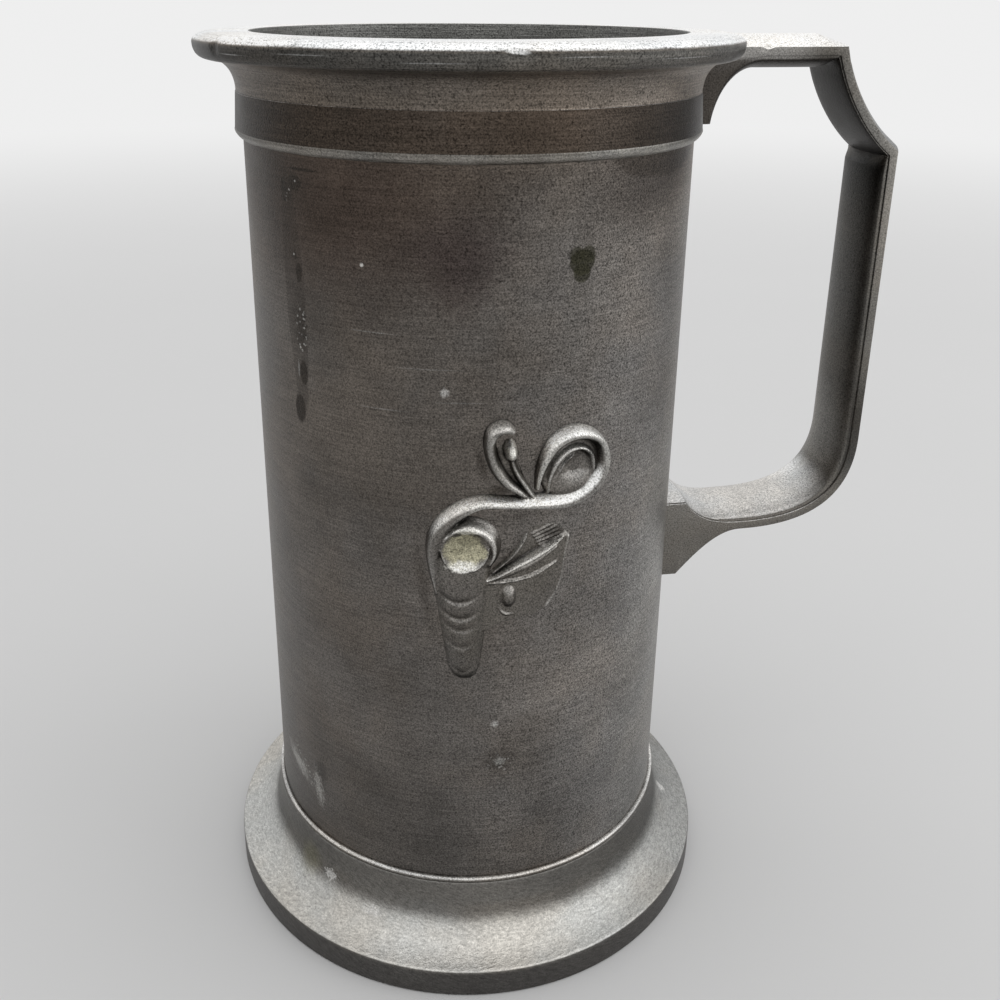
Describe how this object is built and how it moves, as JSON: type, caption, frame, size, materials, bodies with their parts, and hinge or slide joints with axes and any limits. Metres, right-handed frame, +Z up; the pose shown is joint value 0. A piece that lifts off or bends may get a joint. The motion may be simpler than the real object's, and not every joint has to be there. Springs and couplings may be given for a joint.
{
  "type": "measuring cup",
  "caption": "Tall cast pewter litre measure with a wide flat lip, coved collar, flared foot, strap handle and an applied scroll relief, dull grey with age.",
  "frame": {"origin": "middle of the footprint on the table, z = 0 at the underside of the foot", "axes": "+Z up out of the mouth, +X to the handle, -Y to the side with the relief"},
  "size_m": [0.1492, 0.113, 0.1927],
  "materials": {
    "dark_pewter": "matte",
    "rim_pewter": "satin",
    "foot_pewter": "satin",
    "handle_pewter": "satin",
    "relief_pewter": "satin",
    "solder": "satin"
  },
  "bodies": {
    "root": {"drum": "dark_pewter", "mouth_ring": "rim_pewter", "collar_seam": "solder", "foot": "foot_pewter", "foot_bead": "solder", "floor_disc": "dark_pewter", "floor_seam": "solder", "handle": "handle_pewter", "relief": "relief_pewter"}
  },
  "joints": []
}
